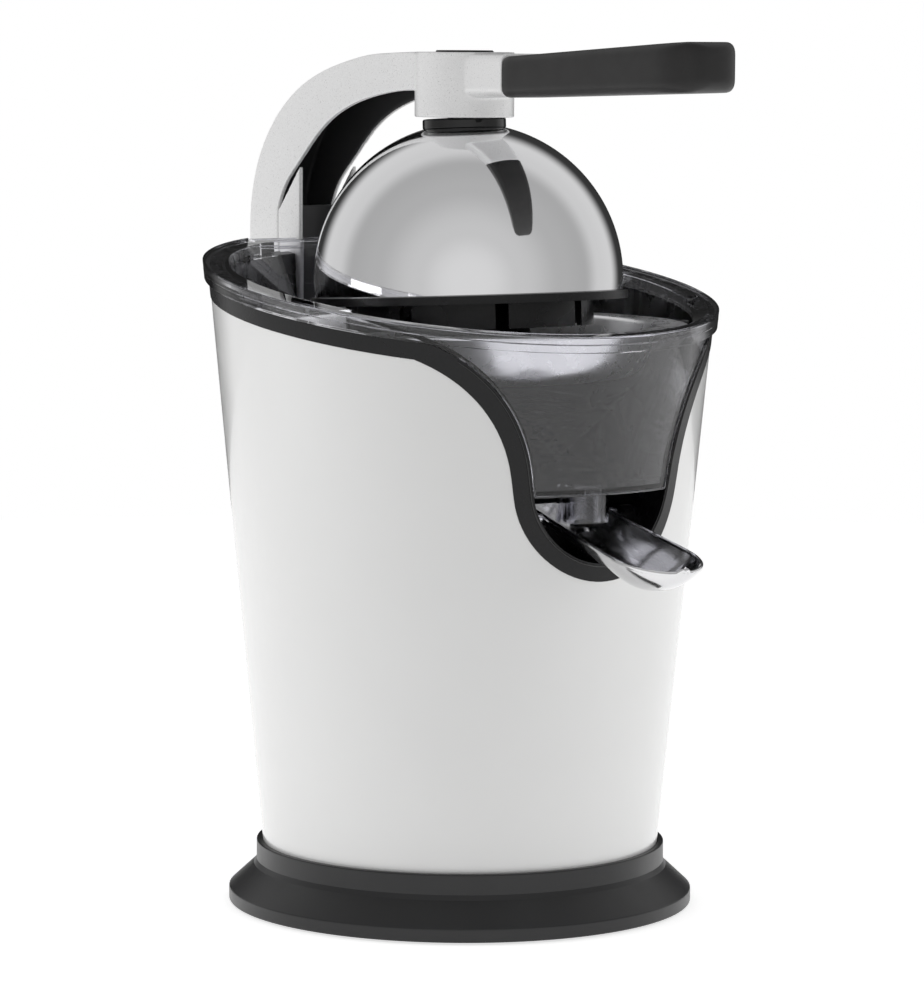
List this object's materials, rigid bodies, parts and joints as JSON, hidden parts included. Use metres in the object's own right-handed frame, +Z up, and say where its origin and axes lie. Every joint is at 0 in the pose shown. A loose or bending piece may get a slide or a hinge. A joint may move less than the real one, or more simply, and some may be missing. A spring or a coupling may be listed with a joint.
{
  "type": "citrus press juicer",
  "caption": "Lever citrus press: tapered body with window and spout, clear slanted bowl, arch arm with press dome and grip, motor-driven reamer.",
  "frame": {"origin": "centre of the underside of the foot ring, on the axis of the tapered body", "axes": "+Z up along the body's axis, -Y towards the spout and the end of the grip, +Y towards the hinge of the arm"},
  "size_m": [0.2322, 0.3195, 0.3896],
  "materials": {
    "black_plastic": "fine matt texture, slight sheen",
    "white_gloss": "smooth gloss white",
    "black_gloss": "gloss black",
    "clear_smoke": "clear, slightly smoky",
    "stainless": "polished",
    "chrome": "mirror",
    "silver_paint": "light silver-white speckled paint on die casting",
    "soft_black": "soft-touch matt",
    "rubber": "matt",
    "steel": "machined",
    "nylon": "moulded",
    "brass": "sintered bronze",
    "dark_steel": "laminated iron and lacquer"
  },
  "bodies": {
    "root": {"base_skirt": "black_plastic", "base_plate": "black_plastic", "foot_ring": "rubber", "base_screws": "steel", "cord_gland": "rubber", "body_shell": "white_gloss", "tower_cover": "white_gloss", "trim_band": "black_plastic", "inner_housing": "black_plastic", "bowl": "clear_smoke", "strainer": "stainless", "mast": "silver_paint", "mast_screws": "steel", "hinge_pin": "steel", "spindle_seal": "rubber", "spindle_bushing": "brass", "return_spring": "steel", "microswitch": "black_plastic", "idler_axle": "steel", "gear_case": "nylon", "gear_cover": "nylon", "gearbox_screws": "steel", "motor_case": "dark_steel", "motor_screws": "steel"},
    "lift_carriage": {"lift_collar": "nylon"},
    "spindle": {"spindle": "steel", "reamer": "black_plastic"},
    "drive_gear": {"drive_gear": "nylon"},
    "idler_gear": {"idler_gear": "nylon"},
    "motor_rotor": {"motor_rotor": "dark_steel", "motor_pinion": "steel", "motor_fan": "nylon"},
    "switch_plunger": {"switch_plunger": "nylon"},
    "spout": {"spout": "stainless", "spout_pins": "steel"},
    "arm": {"arm": "silver_paint", "hub_cap": "black_plastic", "ball_stud": "steel", "grip": "soft_black", "grip_screw": "steel"},
    "dome": {"dome": "chrome", "dome_collar": "black_gloss", "ball_seat": "nylon", "press_cup": "black_plastic", "dome_screw": "steel"}
  },
  "joints": [
    {"name": "arm_lift", "type": "hinge", "parent": "root", "child": "arm", "pos_m": [0, 0.134, 0.29], "axis": [-1, 0, 0], "range_deg": [0, 72]},
    {"name": "dome_tilt", "type": "hinge", "parent": "arm", "child": "dome", "pos_m": [0, 0, 0.352], "axis": [1, 0, 0], "range_deg": [-1, 6]},
    {"name": "press_travel", "type": "slide", "parent": "root", "child": "lift_carriage", "axis": [0, 0, 1], "range_m": [-0.002, 0], "stiffness_N_per_m": 1500, "springref_m": 0.004, "deforming": ["return_spring"]},
    {"name": "reamer_spin", "type": "hinge", "parent": "lift_carriage", "child": "spindle", "pos_m": [0, 0, 0], "axis": [0, 0, 1], "continuous": true},
    {"name": "drive_gear_spin", "type": "hinge", "parent": "root", "child": "drive_gear", "pos_m": [0, 0, 0.15], "axis": [0, 0, 1], "continuous": true},
    {"name": "idler_gear_spin", "type": "hinge", "parent": "root", "child": "idler_gear", "pos_m": [0, 0.032, 0.14], "axis": [0, 0, 1], "continuous": true},
    {"name": "motor_spin", "type": "hinge", "parent": "root", "child": "motor_rotor", "pos_m": [0, 0, 0.09], "axis": [0, 0, 1], "continuous": true},
    {"name": "switch_travel", "type": "slide", "parent": "root", "child": "switch_plunger", "axis": [0, 0, 1], "range_m": [-0.002, 0]},
    {"name": "spout_tilt", "type": "hinge", "parent": "root", "child": "spout", "pos_m": [0, -0.08, 0.181], "axis": [-1, 0, 0], "range_deg": [0, 22]}
  ],
  "couplings": [
    {"joint": "drive_gear_spin", "follows": "reamer_spin", "ratio": 1},
    {"joint": "idler_gear_spin", "follows": "reamer_spin", "ratio": -3.5714},
    {"joint": "motor_spin", "follows": "reamer_spin", "ratio": 15.476},
    {"joint": "switch_travel", "follows": "press_travel", "ratio": 1}
  ]
}
